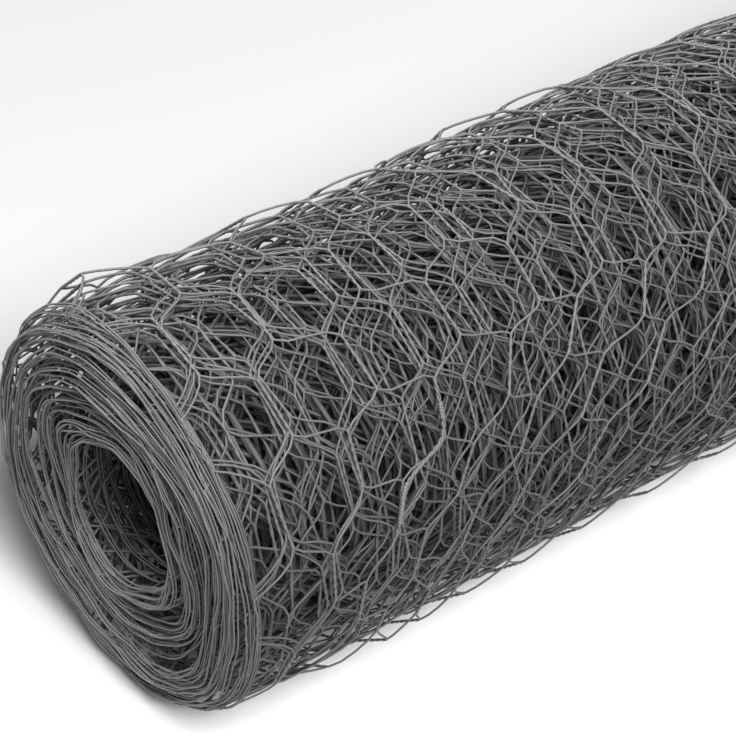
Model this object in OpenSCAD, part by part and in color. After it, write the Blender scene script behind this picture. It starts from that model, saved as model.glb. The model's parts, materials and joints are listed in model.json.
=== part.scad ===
// A roll of hexagonal wire netting, woven from plastic-coated wire, lying on its side.
// The whole winding is one turned solid with an open bore. Every turn ends in a selvage
// of two wires twisted together, and these selvages show as rings on both ends.

/* [Netting] */
// Width of the netting, from selvage to selvage
netting_w = 500; // [300:50:1500]
// Length of netting wound on the roll
netting_l = 10000; // [5000:1000:25000]
// Diameter of one wire over its plastic coating
wire_d = 0.75; // [0.6:0.05:1.2]

/* [Winding] */
// Diameter of the open bore inside the first turn
bore_d = 43; // [30:1:80]
// Thickness that one turn adds to the winding, with each layer nested in the next
turn_thickness = 1.18; // [0.9:0.02:1.8]
// How far the first turn stands out at one end, and is drawn in at the other
drift = 3; // [0:0.5:8]
// How far each second selvage sits back behind its neighbours
stagger = 0.8; // [0:0.1:1.2]

/* [Ends] */
// How far the tight selvage draws the last turn in below the body
neck = 1.8; // [0:0.1:4]
// Length of the round shoulder between the selvage and the body
neck_l = 14; // [6:1:30]

/* [Hidden] */

// Wires twisted together in one selvage
selvage_wires = 2;
selvage_r = selvage_wires * wire_d / 2;
bore_r = bore_d / 2;
// The netting's length times the thickness of one turn fills the ring between bore and body
roll_r = sqrt(bore_r * bore_r + netting_l * turn_thickness / PI);
turns = floor((roll_r - bore_r) / turn_thickness);
// Radii of the selvages on the end faces
first_turn_r = bore_r + selvage_r;
last_turn_r = roll_r - neck - selvage_r;
turn_step = (last_turn_r - first_turn_r) / (turns - 1);
// Half the distance between the centres of a turn's two selvages
half_w = netting_w / 2 - selvage_r;
// Points along each shoulder's curve
shoulder_steps = 6;
// Facets of a bead's section and of a full turn
bead_fn = 24;
turn_fn = 180;

function turn_r(i) = first_turn_r + i * turn_step;

// The winding drifts evenly along the axis, from the first turn to the last
function turn_shift(i) = drift * (0.5 - i / (turns - 1));

// Where the selvage of turn i lies along the axis, at the end that side (-1 or 1) names
function selvage_z(i, side) = side * (half_w - stagger * (i % 2)) - turn_shift(i);

// A shoulder's point, t being 0 at the selvage and 1 at the full body
function shoulder(t, side) = [
    last_turn_r + selvage_r * t + neck * sin(90 * t),
    selvage_z(turns - 1, side) - side * neck_l * t
];

// Half of the roll's section, with the radius along X and the roll's axis along Y
module winding_section() {
    polygon([
        [bore_r, selvage_z(0, -1)],
        for (i = [0 : turns - 1]) [turn_r(i), selvage_z(i, -1)],
        for (s = [1 : shoulder_steps]) shoulder(s / shoulder_steps, -1),
        for (s = [shoulder_steps : -1 : 1]) shoulder(s / shoulder_steps, 1),
        for (i = [turns - 1 : -1 : 0]) [turn_r(i), selvage_z(i, 1)],
        [bore_r, selvage_z(0, 1)]
    ]);
}

// One selvage of turn i in section, a round bead of twisted wires
module selvage_section(i, side) {
    translate([turn_r(i), selvage_z(i, side)])
        circle(r = selvage_r, $fn = bead_fn);
}

// The winding turned about its own axis, then laid down along Y on the plane z = 0
module netting_roll() {
    color("dimgray")
        translate([0, 0, roll_r])
            rotate([-90, 0, 0])
                rotate_extrude($fn = turn_fn) {
                    winding_section();
                    for (i = [0 : turns - 1], side = [-1, 1])
                        selvage_section(i, side);
                }
}

netting_roll();
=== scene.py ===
# %% [markdown]
# # A roll of plastic-coated wire netting
# Hexagonal netting is woven from pairs of wires. Each pair is twisted together for a short
# stretch, parts, and is twisted with its other neighbours in the next row. Ten metres of it are
# wound here into a roll 130 mm across, which lies on its side.
#
# The lesson builds every wire of it, because a roll of netting is seen through: light and sight
# go a dozen layers deep, and no bump or pattern on a cylinder gives that. It goes from the flat
# weave, over the way the layers lie on each other, to the wires, their skin and the light.

import json
import math

import bpy
import numpy as np
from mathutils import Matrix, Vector


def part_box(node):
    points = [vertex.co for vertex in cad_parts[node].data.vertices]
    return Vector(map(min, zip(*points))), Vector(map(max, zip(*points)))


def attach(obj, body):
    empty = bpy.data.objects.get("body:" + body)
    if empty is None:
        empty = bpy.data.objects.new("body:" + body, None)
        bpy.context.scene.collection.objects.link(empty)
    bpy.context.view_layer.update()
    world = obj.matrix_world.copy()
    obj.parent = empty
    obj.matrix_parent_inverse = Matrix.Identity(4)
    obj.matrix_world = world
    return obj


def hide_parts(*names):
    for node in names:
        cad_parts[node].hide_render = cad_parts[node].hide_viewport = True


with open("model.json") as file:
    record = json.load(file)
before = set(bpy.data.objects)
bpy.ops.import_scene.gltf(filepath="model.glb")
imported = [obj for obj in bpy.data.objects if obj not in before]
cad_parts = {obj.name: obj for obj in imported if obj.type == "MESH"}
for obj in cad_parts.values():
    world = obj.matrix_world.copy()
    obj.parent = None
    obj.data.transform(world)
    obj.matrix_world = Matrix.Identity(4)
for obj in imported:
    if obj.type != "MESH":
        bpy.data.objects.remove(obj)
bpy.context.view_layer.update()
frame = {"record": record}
low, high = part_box("netting_roll")
bore = next(m for m in frame["record"]["mounts"] if m["name"] == "bore")

BODY_R = (high.x - low.x) / 2
BORE_R = bore["dims"]["r_mm"] / 1000
AXIS_Z = BODY_R
NET_W = 0.5
DRIFT = (high.y - low.y) - NET_W
SHIFT = DRIFT / 2
print(f"body {BODY_R * 2000:.1f} mm across, bore {BORE_R * 2000:.1f} mm, netting {NET_W} m wide")
print(f"one layer stands out beyond another by up to {DRIFT * 1000:.1f} mm")

# %% [markdown]
# ## The weave, laid flat
# A mesh is measured across, from twist to twist. Along the netting, a row is one twist and the
# slant that leads to the next row, whose twists are set over by half a mesh. The netting is
# finished at both sides by a selvage: two long straight wires, the outer of them wrapped by the
# outermost wires of the mesh.
#
# Everything is first a place on the flat netting: s metres from the cut end, x metres from the
# first selvage. Only later is it laid on the roll.

# %% Sizes of the weave
MESH = 0.025
TWIST = 0.0172
SLANT = 0.0112
ROW = TWIST + SLANT
NET_L = 10.0
WIRE_R = 0.00032
SELVAGE_R = 0.0003
FIRST_TWIST = 0.003
COLUMNS = round(2 * NET_W / MESH)
ROWS = int(NET_L / ROW)
print(f"{ROWS} rows, {COLUMNS} wires side by side, each {WIRE_R * 2000} mm over its plastic")

# %% [markdown]
# ## Smooth random values
# Nothing in a rolled net is exact, but its faults are smooth: a layer drifts in and out over
# several centimetres. One helper gives such values from a table of random numbers, blended
# between its cells. The table is seeded, so every run gives the same roll.

# %% Smooth noise
def smooth_step(t):
    """Rises smoothly from 0 to 1 while t goes from 0 to 1."""
    t = np.clip(t, 0, 1)
    return t * t * (3 - 2 * t)


def wander(u, v, seed):
    """Smooth values about 0, about 1 in size, with a new one for each unit of u and of v."""
    table = np.random.default_rng(seed).standard_normal((97, 89))
    i, j = np.floor(u).astype(int), np.floor(v).astype(int)
    a, b = smooth_step(u - i), smooth_step(v - j)
    here = table[i % 97, j % 89] * (1 - a) + table[(i + 1) % 97, j % 89] * a
    there = table[i % 97, (j + 1) % 89] * (1 - a) + table[(i + 1) % 97, (j + 1) % 89] * a
    return 1.4 * (here * (1 - b) + there * b)


print("noise", wander(np.array([0.3, 7.6]), np.array([0.2, 5.1]), 1).round(3))

# %% [markdown]
# ## The winding
# The roll is counted from its free outer end inwards. The angle turned is called phi, and it
# runs on past a full turn, so one number says both where on the roll a point is and in which
# layer. Each turn lies one layer further in, which makes the netting a spiral.
#
# The outer turns do something more: their hexagons catch on the ones below, and the layers lock
# with a whole even number of rows to a turn. That is why their wires run in pairs and threes.

# %% Spiral
OUTER_R = BODY_R - 0.0012
INNER_R = BORE_R + 0.0002
LAYER = math.pi * (OUTER_R**2 - INNER_R**2) / NET_L
END_ANGLE = math.radians(-85)
ROWS_A_TURN = 14
LOCKED_TURNS = 3.0

s_steps = np.linspace(0, NET_L, 20001)
phi_steps = np.zeros_like(s_steps)
lock_r = ROWS_A_TURN * ROW / (2 * math.pi)
for n in range(len(s_steps) - 1):
    turn = phi_steps[n] / (2 * math.pi)
    freed = min(max(turn - LOCKED_TURNS, 0), 1)
    r = lock_r * (1 - freed) + (OUTER_R - LAYER * turn) * freed
    phi_steps[n + 1] = phi_steps[n] + (s_steps[1] - s_steps[0]) / r
TURNS = phi_steps[-1] / (2 * math.pi)


def phi_of(s):
    """The angle turned from the free end, at s metres of netting."""
    return np.interp(s, s_steps, phi_steps) + np.minimum(s, 0) / OUTER_R


print(f"{TURNS:.1f} turns, {LAYER * 1000:.2f} mm each")

# %% [markdown]
# ## Gaps between the layers
# Each layer lies a gap under the one outside it, and the gap is never even. It wanders in long
# waves, so that neighbouring layers still follow each other. The outer turns lie tight, and so
# do the last ten, which are bundled round the bore. At the ends the gaps differ more. SLACK
# lists the places where a few turns have parted there, as turn, angle and how much: they show as
# dark crescents on the end face. Less than nothing stands for turns pressed together.

# %% Gaps
STEPS = 96
WIDTH_STEPS = 81
LONG_WAVE = 0.35
WAVE_HEIGHTS = (0.30, 0.24, 0.28, 0.26, 0.22)
TIGHT_OUTSIDE = 1.1
SLACK = [
    (7, 8, 1.4),
    (8, -88, 1.8),
    (18, -52, 1.9),
    (19, 178, -1.0),
    (22, 185, 1.0),
    (29, -45, 1.8),
]
phis = np.arange(int((TURNS + 1.5) * STEPS)) * 2 * math.pi / STEPS
widths = np.linspace(-NET_W / 2, NET_W / 2, WIDTH_STEPS)
PHI, WIDE = np.meshgrid(phis, widths, indexing="ij")
THETA = END_ANGLE + PHI
TURN = PHI / (2 * math.pi)
INSIDE = NET_W / 2 - abs(WIDE)


def bump(theta, middle, half):
    """One smooth hill round a middle angle, in degrees, zero past half its width."""
    off = (np.degrees(theta) - middle + 180) % 360 - 180
    return smooth_step(1 - abs(off) / half)


endness = np.exp(-((INSIDE / 0.04) ** 2))
long_u = TURN / 3.2 + 1.3 * np.cos(THETA)
long_v = 1.3 * np.sin(THETA) + WIDE / 0.16 + 9
waves = LONG_WAVE * wander(long_u, long_v, 21)
waves = waves - TIGHT_OUTSIDE * (1 - smooth_step((TURN - 8) / 8)) * (1 - 0.2 * endness)
for k, height in enumerate(WAVE_HEIGHTS):
    one = wander(TURN / 0.9 + 3, WIDE / 0.07 + 9, 30 + k)
    two = wander(TURN / 0.9 + 5, WIDE / 0.07 + 9, 40 + k)
    wave = one * np.cos(k * THETA) + two * np.sin(k * THETA)
    waves = waves + height * wave * (0.4 + 0.6 * smooth_step((TURN - 3) / 4))
for turn, middle, slack in SLACK:
    waves = waves + slack * bump(THETA, middle, 60) * np.exp(-((TURN - turn) ** 2)) * endness
calm = 1 - 0.65 * smooth_step((TURN - TURNS + 9) / 6)
gap = LAYER * np.exp((0.75 + 0.15 * endness) * calm * waves)
gap = np.clip(gap, 0.3 * LAYER, (2.2 + 3.5 * endness) * LAYER)
gap = gap * np.interp(TURNS - TURN, [5, 6, 9, 11], [0.22, 0.4, 0.4, 1])
print("gaps from %.2f to %.2f mm before they are fitted" % (gap.min() * 1000, gap.max() * 1000))

# %% [markdown]
# ## Outline and radii
# The outside of the roll is not round either. Seen from the near end, the last turn hangs off
# in a fold at the lower right, and the netting bulges at the upper left, most of all close to
# the end, where it has been handled. Both ends are drawn in a little, and underneath the roll
# is pressed flat by the floor.
#
# Under the bulge, the first three layers each give about a third of it back, so the layers
# further in are round. At every angle the gaps are then scaled, so that the layers just fill
# the room down to the bore. The layers are worked out one step at a time, each point from the
# one a full turn before it.

# %% Outline of the last turn
NECK = 0.0018
SHOULDER = 0.018
FOLD, FOLD_AT, FOLD_HALF = 0.0032, -47, 15
BULGE, BULGE_AT, BULGE_HALF = 0.0050, 118, 38
SWELL, SWELL_AT, SWELL_HALF = 0.0007, 132, 40
FLOOR_GAP = 0.0006
shoulder = np.clip(INSIDE / SHOULDER, 0, 1)
neck_in = NECK * (1 - np.sqrt(shoulder * (2 - shoulder)))
fold = FOLD * bump(THETA, FOLD_AT, FOLD_HALF) * smooth_step((INSIDE - 0.02) / 0.03)
near_rim = np.exp(-(((WIDE + NET_W / 2 - 0.014) / 0.013) ** 2))
uneven = 1 + 0.7 * wander(0 * PHI, WIDE / 0.022, 22)
lifted = BULGE * bump(THETA, BULGE_AT, BULGE_HALF) * near_rim
lifted = lifted + SWELL * bump(THETA, SWELL_AT, SWELL_HALF) * uneven
given_back = np.interp(TURN, [0, 0.999, 1, 2.999, 3], [0.3, 0.3, 0.35, 0.35, 0])
sprung = fold * (TURN < 0.5) + 0.0004 * (1 - smooth_step(TURN)) + lifted * given_back
outline = OUTER_R + fold - neck_in + lifted
outline = outline + 0.0003 * wander(PHI / 0.5 + 40, WIDE / 0.05 + 3, 3)
outline = np.minimum(outline, (AXIS_Z - FLOOR_GAP) / np.clip(-np.sin(THETA), 0.5, None))
print("outline from %.1f to %.1f mm in radius" % (outline.min() * 1000, outline.max() * 1000))

# %% Radius of every layer
weight = smooth_step(TURN) * (1 - smooth_step(TURN - TURNS + 1))
filled = np.zeros((STEPS, WIDTH_STEPS))
for turn in range(int(TURNS) + 1):
    rows = slice(turn * STEPS, (turn + 1) * STEPS)
    filled = filled + gap[rows] * weight[rows]
room = (OUTER_R - INNER_R - neck_in[:STEPS]) * (TURNS - 1) / TURNS
squeeze = room / filled

seam = smooth_step((PHI[:STEPS] - 5.2) / 1.08)
second = outline[0] - gap[0] * squeeze[0] - sprung[0]
radius = np.empty_like(PHI)
radius[:STEPS] = outline[:STEPS] * (1 - seam) + second * seam
for n in range(STEPS, len(phis)):
    radius[n] = radius[n - STEPS] - gap[n - STEPS] * squeeze[n % STEPS] - sprung[n - STEPS]
inmost = radius[int((TURNS - 1) * STEPS):int(TURNS * STEPS)]
print("bore from %.1f to %.1f mm in radius" % (inmost.min() * 1000, inmost.max() * 1000))

# %% [markdown]
# ## Pulls in the netting
# No mesh lies exactly in its place. The netting is pulled a few millimetres this way and that,
# little near the selvages and more in the middle, and each turn in its own way, so that layers
# far in never line up.
#
# The free end has suffered most. It was pushed back by 24 mm, which shuts the slants of its
# third to fifth rows. It was also dragged aside, 14 mm one way before these rows and 14 mm the
# other way behind them, which makes their twists lean.

# %% Pulled places
SHUT_BY = 0.024
DRAGGED_BY = 0.014
FIRST_SHUT, ROWS_SHUT = 2, 3


def pulls(s, x):
    """How far a place of the netting is pulled along it and across it."""
    inside = np.clip(np.minimum(x, NET_W - x), 0, None)
    loose = 1 - np.exp(-inside / 0.08)
    held = np.clip(inside / 0.02, 0, 1)
    along = (0.0010 + 0.0035 * loose) * wander(s / 0.15, x / 0.14, 12)
    along = along + 0.0010 * held * wander(s / 0.035, x / 0.04, 11)
    across = 0.0045 * loose * wander(s / 0.16, x / 0.14, 13)
    across = across + 0.0012 * held * wander(s / 0.03, x / 0.035, 15)
    across = across + 0.0005 * wander(s / 0.08, x / 0.3, 14)

    row = np.floor(s / ROW)
    into = s - row * ROW
    shut = (row + np.clip((into - TWIST) / SLANT, 0, 1) - FIRST_SHUT) / ROWS_SHUT
    evenly = np.clip((s / ROW - FIRST_SHUT) / ROWS_SHUT, 0, 1)
    crowded = 0.3 * evenly + 0.7 * np.clip(shut, 0, 1)
    along = along + SHUT_BY * smooth_step((inside - 0.01) / 0.04) * (1 - crowded)
    lean = np.clip((row + np.clip(into / TWIST, 0, 1) - FIRST_SHUT) / ROWS_SHUT, 0, 1)
    fading = 1 - smooth_step((s - (FIRST_SHUT + ROWS_SHUT) * ROW) / 0.25)
    across = across + DRAGGED_BY * smooth_step((inside - 0.012) / 0.09) * (2 * lean - 1) * fading
    return along, across


print("pulls in mm, mid-width, a metre in:", (np.array(pulls(1.0, 0.25)) * 1000).round(1))

# %% [markdown]
# ## Laying a place of the netting on the roll
# One function takes places of the flat netting to the roll. Here the turns also shift sideways.
# From the third inwards they stand out at the near end by up to four millimetres. The last five
# are drawn into the bore there, each four millimetres deeper than the one before, which leaves
# their selvages as arcs on its wall. The selvages themselves have small kinks.

# %% Flat netting to roll
STANDS_OUT = 0.0042
DRAWN_IN = 0.0042
KINK = 0.0003
LEAST_HEIGHT = 2.5 * WIRE_R


def look_up(table, phi, wide):
    """Values of a table over angle and width, blended between its cells."""
    u = np.clip(phi * STEPS / (2 * math.pi), 0, len(phis) - 1.001)
    v = np.clip((wide + NET_W / 2) / NET_W * (WIDTH_STEPS - 1), 0, WIDTH_STEPS - 1.001)
    i, j = u.astype(int), v.astype(int)
    a, b = u - i, v - j
    near = table[i, j] * (1 - a) + table[i + 1, j] * a
    return near * (1 - b) + (table[i, j + 1] * (1 - a) + table[i + 1, j + 1] * a) * b


def wind(s, x):
    """Places on the roll and outward normals, for places of the flat netting."""
    s, x = np.broadcast_arrays(np.asarray(s, float), np.asarray(x, float))
    along, across = pulls(s, x)
    phi = phi_of(s + along)
    turn = phi / (2 * math.pi)
    pushed = STANDS_OUT * smooth_step((turn - 1.5) / 7)
    pushed = pushed - 0.0014 * smooth_step((turn - 14) / 20)
    pushed = pushed + 0.0004 * wander(phi / 0.8, turn / 3, 16)
    drawn_in = DRAWN_IN * np.clip(turn - TURNS + 5.3, 0, 5) * np.exp(-np.clip(x, 0, None) / 0.1)
    kinked = np.exp(-np.clip(np.minimum(x, NET_W - x), 0, None) / 0.004)
    wide = x - NET_W / 2 + across + SHIFT - pushed + drawn_in
    wide = wide + KINK * kinked * wander(s / 0.012, 0 * s, 17)
    r = look_up(radius, phi, x - NET_W / 2) + KINK * kinked * wander(s / 0.010, 0 * s, 18)
    theta = END_ANGLE + phi
    normal = np.stack([np.cos(theta), np.zeros_like(theta), np.sin(theta)], -1)
    place = np.stack([r * np.cos(theta), wide, AXIS_Z + r * np.sin(theta)], -1)
    place[..., 2] = np.maximum(place[..., 2], LEAST_HEIGHT)
    return place, normal


print("the cut end starts at", wind(0.0, 0.0)[0].round(4))

# %% [markdown]
# ## Where the twists lie
# Row j has a twist in every second column, and the rows between use the other columns. The two
# ends of each twist are worked out first, and every wire then runs between them in straight
# lines, as stiff wire does: this gives the roll its many small flats. The outermost turn has
# nothing to hold it, so its twists also stand off, the furthest by almost a millimetre.

# %% Twist ends
STAND_OFF = 0.0007
OFF_ALONG = 0.0008
OFF_ACROSS = 0.0005


def unit(v):
    """The same directions, one long."""
    return v / np.linalg.norm(v, axis=-1, keepdims=True)


rng = np.random.default_rng(7)
row_s = FIRST_TWIST + np.arange(ROWS) * ROW
column_x = SELVAGE_R + np.arange(COLUMNS + 1) * (NET_W - 2 * SELVAGE_R) / COLUMNS
S, X = np.meshgrid(row_s, column_x, indexing="ij")
on_rim = (X == column_x[0]) | (X == column_x[-1])


def twist_end(flat_s):
    """Where one end of every twist is, each a little off its place."""
    off_s, off_x, lift = rng.normal(0, 1, (3, *S.shape)) * ~on_rim
    place, normal = wind(flat_s + OFF_ALONG * off_s, X + OFF_ACROSS * off_x)
    outermost = 1 - smooth_step((np.arange(ROWS) - ROWS_A_TURN + 2) / 4)[:, None]
    lift = STAND_OFF * np.clip(lift, -0.8, 1.3) * outermost
    return place + lift[..., None] * normal, normal


start, start_n = twist_end(S)
end, end_n = twist_end(S + TWIST)
lead = unit(end - start)
side = unit(np.cross(lead, unit(start_n + end_n)))
side = side * np.sign(side[..., 1:2])
face = unit(np.cross(side, lead))
face = face * np.sign((face * start_n).sum(-1, keepdims=True))
bow = rng.uniform(0.35, 0.95, (ROWS, COLUMNS))
print("twist ends", start.shape[:2], "each lifted by up to %.2f mm" % (1300 * STAND_OFF))

# %% [markdown]
# ## The route of a wire
# A wire alternates: round its left neighbour, over to the right, round its right neighbour and
# back. Between two twists it bows a little, because the pull of each twist keeps it in line for
# a few millimetres. The wires at the rim wrap the selvage and come in square to it.
#
# A route is a chain of points. Turns near the outside get more points for each twist than the
# ones deep in the roll, of which only glimpses show. Each point also notes whether it is in a
# twist, for the finish later.

# %% Wire routes
RIM_COILS = 3
LEVER = 0.6 * WIRE_R
RIM_LEVER = SELVAGE_R + 0.1 * WIRE_R
SPREAD = 1.36


def routes(first, last, twist_steps, coils, slant_steps):
    """All wires from row first to row last, as (wires, points, 3), and where they twist."""
    rows_here = np.arange(first, min(last + 1, ROWS))
    W, J = np.meshgrid(np.arange(COLUMNS), rows_here, indexing="ij")
    C = W + (W + J + 1) % 2
    a = np.linspace(0, 1, twist_steps + 1)
    rim = ((C == 0) | (C == COLUMNS))[..., None, None]
    arc = wind(row_s[J][..., None] + a * TWIST, column_x[C][..., None])[0]
    chord = start[J, C][..., None, :] * (1 - a[:, None]) + end[J, C][..., None, :] * a[:, None]
    turns = np.where(rim[..., 0], RIM_COILS, coils) * 2 * math.pi * a
    turn = np.where(C == W, 0.0, math.pi)[..., None] + turns
    swing = np.cos(turn)[..., None] * side[J, C][..., None, :]
    swing = swing + np.sin(turn)[..., None] * face[J, C][..., None, :]
    lever = np.where(rim, RIM_LEVER, LEVER)
    twist = np.where(rim, arc, chord) + lever * swing

    p0, p1 = twist[:, :-1, -1], twist[:, 1:, 0]
    heading = (C[:, 1:] - C[:, :-1])[..., None] * side[J, C][:, :-1]
    square = 0.25 * lead[J, C]
    t0 = np.where(rim[:, :-1, 0], square[:, :-1] + heading, lead[J, C][:, :-1])
    t1 = np.where(rim[:, 1:, 0], square[:, 1:] + heading, lead[J, C][:, 1:])
    reach = np.linalg.norm(p1 - p0, axis=-1) * bow[J, W][:, :-1]
    t0, t1 = t0 * reach[..., None], t1 * reach[..., None]
    chains, twisted = [], []
    t = np.linspace(0, 1, slant_steps + 1)[1:-1]
    t = (0.5 + (t - 0.5) * SPREAD)[:, None]
    for k in range(len(rows_here) - 1):
        from_here, leaving = p0[:, k, None], t0[:, k, None]
        to_there, arriving = p1[:, k, None], t1[:, k, None]
        slant = from_here * (2 * t**3 - 3 * t**2 + 1) + leaving * (t**3 - 2 * t**2 + t)
        slant = slant + to_there * (3 * t**2 - 2 * t**3) + arriving * (t**3 - t**2)
        chains += [twist[:, k], slant]
        twisted += [1] * len(a) + [0] * len(t)
    ends_here = twist[:, -1] if last >= ROWS else twist[:, -1, :1]
    chains.append(ends_here)
    twisted += [1] * ends_here.shape[1]
    return np.concatenate(chains, axis=1), np.array(twisted, float)


trial, _ = routes(0, 2, 4, 1, 2)
print("a wire of two rows has", trial.shape[1], "points in this trial")

# %% [markdown]
# ## From chains to round wires
# A chain of edges could be skinned, or turned into a curve with a bevel. Here a small Geometry
# Nodes tree does it as a modifier, because it takes thousands of chains at once: Mesh to Curve,
# then Curve to Mesh with a circle as the profile and the ends capped. The modifier is applied,
# so that the piece is plain mesh. A wire under a millimetre thick needs few sides: six on the
# outermost turn and four further in. So few sides make a wire look thin, and its circle is made
# larger to give the right width on average.
#
# Every point also carries notes. "thick" scales the circle: the wraps on a selvage are thin, and
# the deep turns can be made thicker than they are. On the far half and on the left side every
# wire grows a quarter thicker, because from behind the roll is seen against a bright floor, and
# it should look as dense there. "open" is painted shade: it says how near the point is to the
# outside, and the finish darkens the colour of deeper points by it, as if shade fell there. It
# fades over a depth below the outside, and behind an end faster by END_SHARE, because an end face
# is closed by its many rings.

# %% Round section
def ring_radius(radius, sides):
    """The circle whose few-sided outline is, on average, as wide as a round wire."""
    return radius * math.pi / (sides * math.sin(math.pi / sides))


def round_section(radius, sides):
    """Geometry nodes that give chains of edges a round section."""
    tree = bpy.data.node_groups.new(f"round_{sides}", "GeometryNodeTree")
    tree.interface.new_socket("Geometry", in_out="INPUT", socket_type="NodeSocketGeometry")
    tree.interface.new_socket("Geometry", in_out="OUTPUT", socket_type="NodeSocketGeometry")
    came = tree.nodes.new("NodeGroupInput")
    chain = tree.nodes.new("GeometryNodeMeshToCurve")
    ring = tree.nodes.new("GeometryNodeCurvePrimitiveCircle")
    tube = tree.nodes.new("GeometryNodeCurveToMesh")
    left = tree.nodes.new("NodeGroupOutput")
    ring.inputs["Resolution"].default_value = sides
    ring.inputs["Radius"].default_value = ring_radius(radius, sides)
    tube.inputs["Fill Caps"].default_value = True
    thick = tree.nodes.new("GeometryNodeInputNamedAttribute")
    thick.inputs["Name"].default_value = "thick"
    tree.links.new(thick.outputs[0], tube.inputs["Scale"])
    tree.links.new(came.outputs[0], chain.inputs["Mesh"])
    tree.links.new(chain.outputs[0], tube.inputs["Curve"])
    tree.links.new(ring.outputs[0], tube.inputs["Profile Curve"])
    tree.links.new(tube.outputs[0], left.inputs[0])
    return tree


for sides in (4, 6):
    print(f"{sides} sides take a circle of {ring_radius(WIRE_R, sides) * 1000:.3f} mm in radius")

# %% Thickness and painted shade
THICKER_BEHIND = 0.25
WRAP_THICK = 0.85
# Painted shade: a wire's colour darkens with its depth below the outside and behind an end.
PAINTED_SHADE_DEPTH = 0.0065
END_SHARE = 2.4


def notes_at(points, thick):
    """How thick a wire is drawn at every point, and how much light the painted shade leaves it.
    """
    inside = np.clip(NET_W / 2 - abs(points[:, 1]), 0, None)
    under = np.clip(OUTER_R - np.hypot(points[:, 0], points[:, 2] - AXIS_Z), 0, None)
    near, further = thick
    scale = np.interp(inside * 1000, [1, 3, 6, 15, 30], [WRAP_THICK, 1, near, near, further])
    left_side = smooth_step(-points[:, 0] / 0.03) * smooth_step((inside - 0.004) / 0.01)
    far_half = smooth_step(points[:, 1] / 0.15)
    scale = scale * (1 + THICKER_BEHIND * np.maximum(left_side, far_half))
    # The second value is painted shade by depth: 1 at the outside and less deeper in.
    return scale, np.exp(-np.minimum(under, END_SHARE * inside) / PAINTED_SHADE_DEPTH)


print("thick and open, mid-width on top:", notes_at(np.array([[0, 0, 2 * BODY_R]]), (1, 1)))

# %% Wires as a piece
pieces = []


def wires(name, chains, twisted, sides, radius=WIRE_R, thick=(1, 1)):
    """One piece: every chain as a round wire. Each wire also gets a tone of its own."""
    tones = np.random.default_rng(len(pieces) + 50).uniform(0, 1, len(chains))
    counts = np.array([len(chain) for chain in chains])
    firsts = np.concatenate([[0], np.cumsum(counts)[:-1]])
    edges = np.concatenate([np.arange(f, f + n - 1) for f, n in zip(firsts, counts)])
    points = np.concatenate(chains)
    points[:, 2] = np.maximum(points[:, 2], low.z + 1.2 * radius)
    mesh = bpy.data.meshes.new(name)
    mesh.from_pydata(points.tolist(), np.stack([edges, edges + 1], 1).tolist(), [])
    # The open note is painted shade: colour darkened by depth, as if shade fell there.
    scale, painted_light_by_depth = notes_at(points, thick)
    notes = {
        "twisted": np.concatenate(twisted),
        "tone": np.repeat(tones, counts),
        "open": painted_light_by_depth,
        "thick": scale,
    }
    for note, values in notes.items():
        mesh.attributes.new(note, "FLOAT", "POINT").data.foreach_set("value", values)
    piece = bpy.data.objects.new(name, mesh)
    bpy.context.collection.objects.link(piece)
    bpy.ops.object.select_all(action="DESELECT")
    piece.select_set(True)
    bpy.context.view_layer.objects.active = piece
    section = piece.modifiers.new("section", "NODES")
    section.node_group = round_section(radius, sides)
    bpy.ops.object.modifier_apply(modifier=section.name)
    bpy.ops.object.shade_smooth()
    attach(piece, "root")
    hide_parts("netting_roll")
    pieces.append(piece)
    print(name, sum(len(p.vertices) - 2 for p in piece.data.polygons), "triangles")


# %% [markdown]
# ## The netting, turn by turn
# The netting is one length of wire mesh, made here in bands of turns so that no mesh is too
# heavy to handle. A band gives its rows, the points and coils of a twist, the points of a slant,
# the sides of a wire and its thickness near the rim and further in. The turns between the
# thirteenth and the bore are only seen in glimpses, so they get few points, and wires almost
# twice as thick as they are: crossing each other, they close the roll to light, as the real ones
# do by number.
#
# The first band also gets the cut ends: where the netting was snipped off the loom, each wire
# sticks out of the first twist for a few millimetres.

# %% Bands of turns
BANDS = [
    ("netting_turn_1", 0, 14, 12, 3, 6, 6, (1.0, 1.0)),
    ("netting_turns_2_3", 14, 42, 9, 3, 5, 4, (1.0, 1.0)),
    ("netting_turns_4_6", 42, 84, 8, 2, 3, 4, (1.15, 1.0)),
    ("netting_turns_7_12", 84, 160, 4, 1, 3, 4, (1.3, 1.0)),
    ("netting_turns_inner", 160, 318, 1, 0, 2, 4, (1.9, 1.9)),
    ("netting_turns_bore", 318, ROWS, 4, 1, 2, 4, (1.5, 1.7)),
]
for name, first, last, twist_steps, coils, slant_steps, sides, thick in BANDS:
    chains, twisted = routes(first, last, twist_steps, coils, slant_steps)
    if first == 0:
        w = np.arange(COLUMNS)
        here, before = w + (w + 1) % 2, w + w % 2
        snip = rng.uniform(0.25, 0.7, COLUMNS)
        x = column_x[here] * (1 - snip) + column_x[before] * snip
        tip, out = wind(row_s[0] - SLANT * snip, x)
        tip = tip + out * rng.uniform(-0.0004, 0.0012, (COLUMNS, 1))
        chains = np.concatenate([tip[:, None], chains], axis=1)
        twisted = np.concatenate([[0], twisted])
    wires(name, list(chains), [twisted] * COLUMNS, sides, thick=thick)

# %% [markdown]
# ## Selvages
# Two long wires run along each side of the netting, a millimetre apart. Edge on, they are the
# fine rings of the roll's ends. They bend smoothly, so they follow the winding in small steps
# and not from twist to twist, and the inner one wanders a little against the outer. A roll
# stands and slides on its ends, so these wires are rubbed as the twists are.

# %% Selvages
LINES_APART = 0.0009


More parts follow.
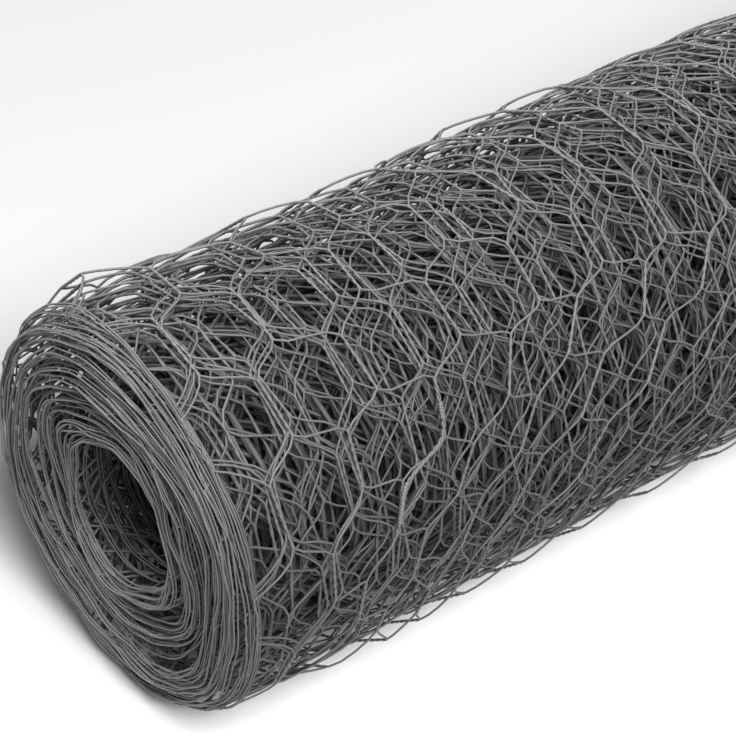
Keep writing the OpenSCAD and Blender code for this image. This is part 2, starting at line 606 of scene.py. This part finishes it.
def selvage(name, outer_x, inner_x, step):
    """Both long wires of one side of the netting, as one piece."""
    s = np.arange(-0.004, NET_L, step)
    outer, _ = wind(s, outer_x)
    inner, out = wind(s, inner_x)
    inner = inner + out * KINK * wander(s / 0.03, 0 * s, 19)[:, None]
    wires(name, [outer, inner], [np.ones(len(s))] * 2, 4, SELVAGE_R)


selvage("selvage_near", column_x[0], column_x[0] + LINES_APART, 0.002)
selvage("selvage_far", column_x[-1], column_x[-1] - LINES_APART, 0.003)

# %% [markdown]
# ## A splice
# When a bobbin runs out on the loom, the new wire is twisted to the old one and its tails are
# wrapped round both. The splice runs down a twist, a slant and the next twist, and stands out as
# a thick rope. The plastic has filled the wraps, so they are nearly smooth.

# %% Line of the splice
SPLICE_ANGLE = math.radians(13)
SPLICE_Y = -NET_W / 2 + SHIFT + 0.059
SPLICE_HEIGHT = 0.0010
SPLICE_PITCH = 0.005
WRAP_PITCH = 0.0009
angles = np.arctan2(start[..., 2] - AXIS_Z, start[..., 0])[:ROWS_A_TURN]
miss = abs(angles - SPLICE_ANGLE) * OUTER_R + abs(start[:ROWS_A_TURN, :, 1] - SPLICE_Y)
odd = (np.add.outer(np.arange(ROWS_A_TURN), np.arange(1, COLUMNS + 2)) % 2) * 1.0
j, c = np.unravel_index((miss + odd).argmin(), miss.shape)
knees = np.array([start[j, c], end[j, c], start[j + 1, c + 1], end[j + 1, c + 1]])
outs = np.array([start_n[j, c], start_n[j, c], start_n[j + 1, c + 1], start_n[j + 1, c + 1]])
t = np.linspace(0, 3, 90)
core = np.stack([np.interp(t, range(4), knees[:, k]) for k in range(3)], -1)
out = np.stack([np.interp(t, range(4), outs[:, k]) for k in range(3)], -1)
for smoothing in range(60):
    core[1:-1] = (core[:-2] + 2 * core[1:-1] + core[2:]) / 4
core = core + out * (SPLICE_HEIGHT * np.sin(math.pi * t / 3)[:, None] ** 0.5)
ahead = unit(np.gradient(core, axis=0))
out = unit(out - (out * ahead).sum(-1, keepdims=True) * ahead)
over = np.cross(ahead, out)
length = np.concatenate([[0], np.cumsum(np.linalg.norm(np.diff(core, axis=0), axis=1))])
print("the splice is %.0f mm long" % (length[-1] * 1000))

# %% Wires of the splice
chains = []
for hand in (0, math.pi):
    turn = (length * 2 * math.pi / SPLICE_PITCH + hand)[:, None]
    chains.append(core + 0.9 * WIRE_R * (np.cos(turn) * over + np.sin(turn) * out))
wraps = []
for begins, ends_at in ((0.06, 0.30), (0.76, 0.86)):
    at = np.arange(begins, ends_at, 0.0001 / length[-1]) * length[-1]
    line = np.stack([np.interp(at, length, core[:, k]) for k in range(3)], -1)
    up = np.stack([np.interp(at, length, out[:, k]) for k in range(3)], -1)
    ahead = unit(np.gradient(line, axis=0))
    over = np.cross(ahead, unit(up))
    turn = (at * 2 * math.pi / WRAP_PITCH)[:, None]
    wraps.append(line + 0.3 * WIRE_R * (np.cos(turn) * over + np.sin(turn) * up))
wires("splice", chains, [np.ones(len(chain)) for chain in chains], 5)
wires("splice_wraps", wraps, [np.ones(len(wrap)) for wrap in wraps], 6, 2.2 * WIRE_R)

# %% [markdown]
# ## A small kit for shader maths
# Materials here are node trees, and a tree is easier to read as sums than as a list of nodes.
# The class wraps one socket. Plus, minus, times, divided and power add a Math node each, and
# add() makes any other node: its sockets are named, or numbered as i0, i1 and so on.

# %% Shader kit
class Value:
    """A socket of a shader tree that can be reckoned with like a number."""

    def __init__(self, tree, socket):
        self.tree, self.socket = tree, socket

    def add(self, kind, settings=None, out=0, **sockets):
        """Any other node: its settings are set first, then its sockets are given or linked."""
        node = self.tree.nodes.new(kind)
        for key, value in (settings or {}).items():
            setattr(node, key, value)
        for key, value in sockets.items():
            numbered = key[1:].isdigit()
            place = node.inputs[int(key[1:]) if numbered else key.replace("_", " ")]
            if isinstance(value, Value):
                self.tree.links.new(value.socket, place)
            else:
                place.default_value = value
        return Value(self.tree, node.outputs[out])

    def math(self, operation, one, two):
        """A Math node on two values or numbers."""
        return self.add("ShaderNodeMath", {"operation": operation}, i0=one, i1=two)

    def __add__(self, other):
        return self.math("ADD", self, other)

    def __sub__(self, other):
        return self.math("SUBTRACT", self, other)

    def __rsub__(self, other):
        return self.math("SUBTRACT", other, self)

    def __mul__(self, other):
        return self.math("MULTIPLY", self, other)

    def __truediv__(self, other):
        return self.math("DIVIDE", self, other)

    def __pow__(self, other):
        return self.math("POWER", self, other)

    __radd__ = __add__
    __rmul__ = __mul__


def start_material(name):
    """A new material, its shader node and the Object coordinates to build on."""
    material = bpy.data.materials.new(name)
    material.use_nodes = True
    tree = material.node_tree
    shader = tree.nodes["Principled BSDF"]
    coordinates = tree.nodes.new("ShaderNodeTexCoord")
    return material, shader, Value(tree, coordinates.outputs["Object"])


def connect(value, socket):
    """Links a value to a shader's socket."""
    value.tree.links.new(value.socket, socket)


print("a value knows", [name for name in vars(Value) if name.startswith("__r")])

# %% [markdown]
# ## The plastic skin
# The wire is coated with soft PVC in a flat mid grey. Four things keep it from being one colour.
# Each bobbin of wire is a touch lighter or darker. The coat is rubbed brighter and smoother on
# the twists, which stand proud and take the handling. It is paler in soft patches, and paler on
# top, which is painted light: the colour lightens towards the top as if lit from above. And none
# of that reaches the deep wires, which get painted shade: the note "open" on the points tells
# how deep a wire lies, and their colour is darkened by it as if shade fell there. The skin itself
# is slightly uneven, a very fine bump.

# %% Grey PVC
# The two ends of the wire colour; painted shade by depth pulls deep wires towards the darker one.
DARKEST_GREY = (0.014, 0.014, 0.014, 1)
PALE_GREY = (0.103, 0.104, 0.106, 1)
# The second is painted light on top, the third the share left under painted shade deep in.
PALE_ALL_OVER, PAINTED_TOP_LIGHT, DEEPEST_PAINTED_LIGHT = 0.44, 0.43, 0.3
pvc, shader, coords = start_material("grey_pvc")
twisted = coords.add("ShaderNodeAttribute", {"attribute_name": "twisted"}, out="Fac")
tone = coords.add("ShaderNodeAttribute", {"attribute_name": "tone"}, out="Fac")
# The open note carries painted shade by depth.
painted_depth_light = coords.add("ShaderNodeAttribute", {"attribute_name": "open"}, out="Fac")
patches = coords.add("ShaderNodeTexNoise", Vector=coords, Scale=28.0, Detail=3.0)
grain = coords.add("ShaderNodeTexNoise", Vector=coords, Scale=1400.0, Detail=2.0)
height = coords.add("ShaderNodeSeparateXYZ", Vector=coords, out=2) / (2 * BODY_R)
worn = tone * 0.14 + patches * 0.3 + twisted * 0.12 + grain * 0.16
# Painted light: the colour lightens towards the top, as if lit from above.
pale = worn + height**3 * PAINTED_TOP_LIGHT + PALE_ALL_OVER
# Painted shade: deep wires darkened by the open note, as if shade fell on them.
pale = pale * (DEEPEST_PAINTED_LIGHT + (1 - DEEPEST_PAINTED_LIGHT) * painted_depth_light)
greys = {"i6": DARKEST_GREY, "i7": PALE_GREY}
colour = coords.add("ShaderNodeMix", {"data_type": "RGBA"}, out=2, i0=pale, **greys)
connect(colour, shader.inputs["Base Color"])
connect(0.62 - twisted * 0.1 + (grain - 0.5) * 0.25, shader.inputs["Roughness"])
skin = coords.add("ShaderNodeBump", Height=grain, Strength=0.25, Distance=0.00006)
connect(skin, shader.inputs["Normal"])
for piece in pieces:
    piece.data.materials.clear()
    piece.data.materials.append(pvc)
print("one skin on", len(pieces), "pieces")

# %% [markdown]
# ## Floor
# The roll lies on a pale, matt floor that runs out of sight.

# %% Floor
FLOOR_SIZE = 20
bpy.ops.mesh.primitive_plane_add(size=FLOOR_SIZE)
floor = bpy.context.object
floor.name = "floor"
matt, shader, coords = start_material("pale_floor")
cloud = coords.add("ShaderNodeTexNoise", Vector=coords, Scale=3.0, Detail=2.0)
shades = {"i6": (0.88, 0.88, 0.88, 1), "i7": (0.92, 0.92, 0.92, 1)}
colour = coords.add("ShaderNodeMix", {"data_type": "RGBA"}, out=2, i0=cloud, **shades)
connect(colour, shader.inputs["Base Color"])
shader.inputs["Roughness"].default_value = 0.9
floor.data.materials.append(matt)
print("floor", floor.dimensions.x, "m wide")

# %% [markdown]
# ## Light
# A roll of netting lets light through, and a bright floor behind it would glitter between the
# wires. So the main soft lamp stands high on the right: it throws the roll's shadow to the left,
# on the floor that is seen through the wires. Two weaker lamps fill the top, the left and the
# back. Light linking lets them light the roll alone, so they don't light up that floor. The pale
# surround is kept low, and the deep layers stay dark.

# %% Light
SURROUND = 0.13
scene = bpy.context.scene
scene.view_settings.view_transform = "Standard"
world = bpy.data.worlds.new("studio")
scene.world = world
world.use_nodes = True
world.node_tree.nodes["Background"].inputs["Color"].default_value = (1, 1, 1, 1)
world.node_tree.nodes["Background"].inputs["Strength"].default_value = SURROUND


def softbox(place, size, power, only=None):
    """A round soft lamp that points at the roll. It can be kept to one collection."""
    bpy.ops.object.light_add(type="AREA", location=place)
    lamp = bpy.context.object
    lamp.data.shape = "DISK"
    lamp.data.size = size
    lamp.data.energy = power
    lamp.rotation_euler = (-lamp.location).to_track_quat("-Z", "Y").to_euler()
    lamp.light_linking.receiver_collection = only


roll_only = bpy.data.collections.new("roll_only")
for piece in pieces:
    roll_only.objects.link(piece)
softbox((2.0, -0.7, 2.15), 1.5, 145)
softbox((-0.9, -0.8, 2.2), 1.4, 100, roll_only)
softbox((-1.7, 1.3, 1.0), 1.2, 22, roll_only)
print("lamps:", [round(light.energy) for light in bpy.data.lights], "W")

# %% [markdown]
# ## Camera
# It looks down on the near end from the front right, with a long lens, so close that the far
# half of the roll runs out of the picture.

# %% Camera
NEAR_END = -NET_W / 2 + SHIFT
LENS = 137.3
bpy.ops.object.camera_add(location=(0.52973, NEAR_END - 0.33887, 0.57656))
camera = bpy.context.object
aim = Vector((0.08523, NEAR_END + 0.0202, 0.15697))
camera.rotation_euler = (aim - camera.location).to_track_quat("-Z", "Y").to_euler()
camera.data.sensor_width = 36
camera.data.lens = LENS
scene.camera = camera
print("camera %.2f m from its aim" % (aim - camera.location).length)

# %% [markdown]
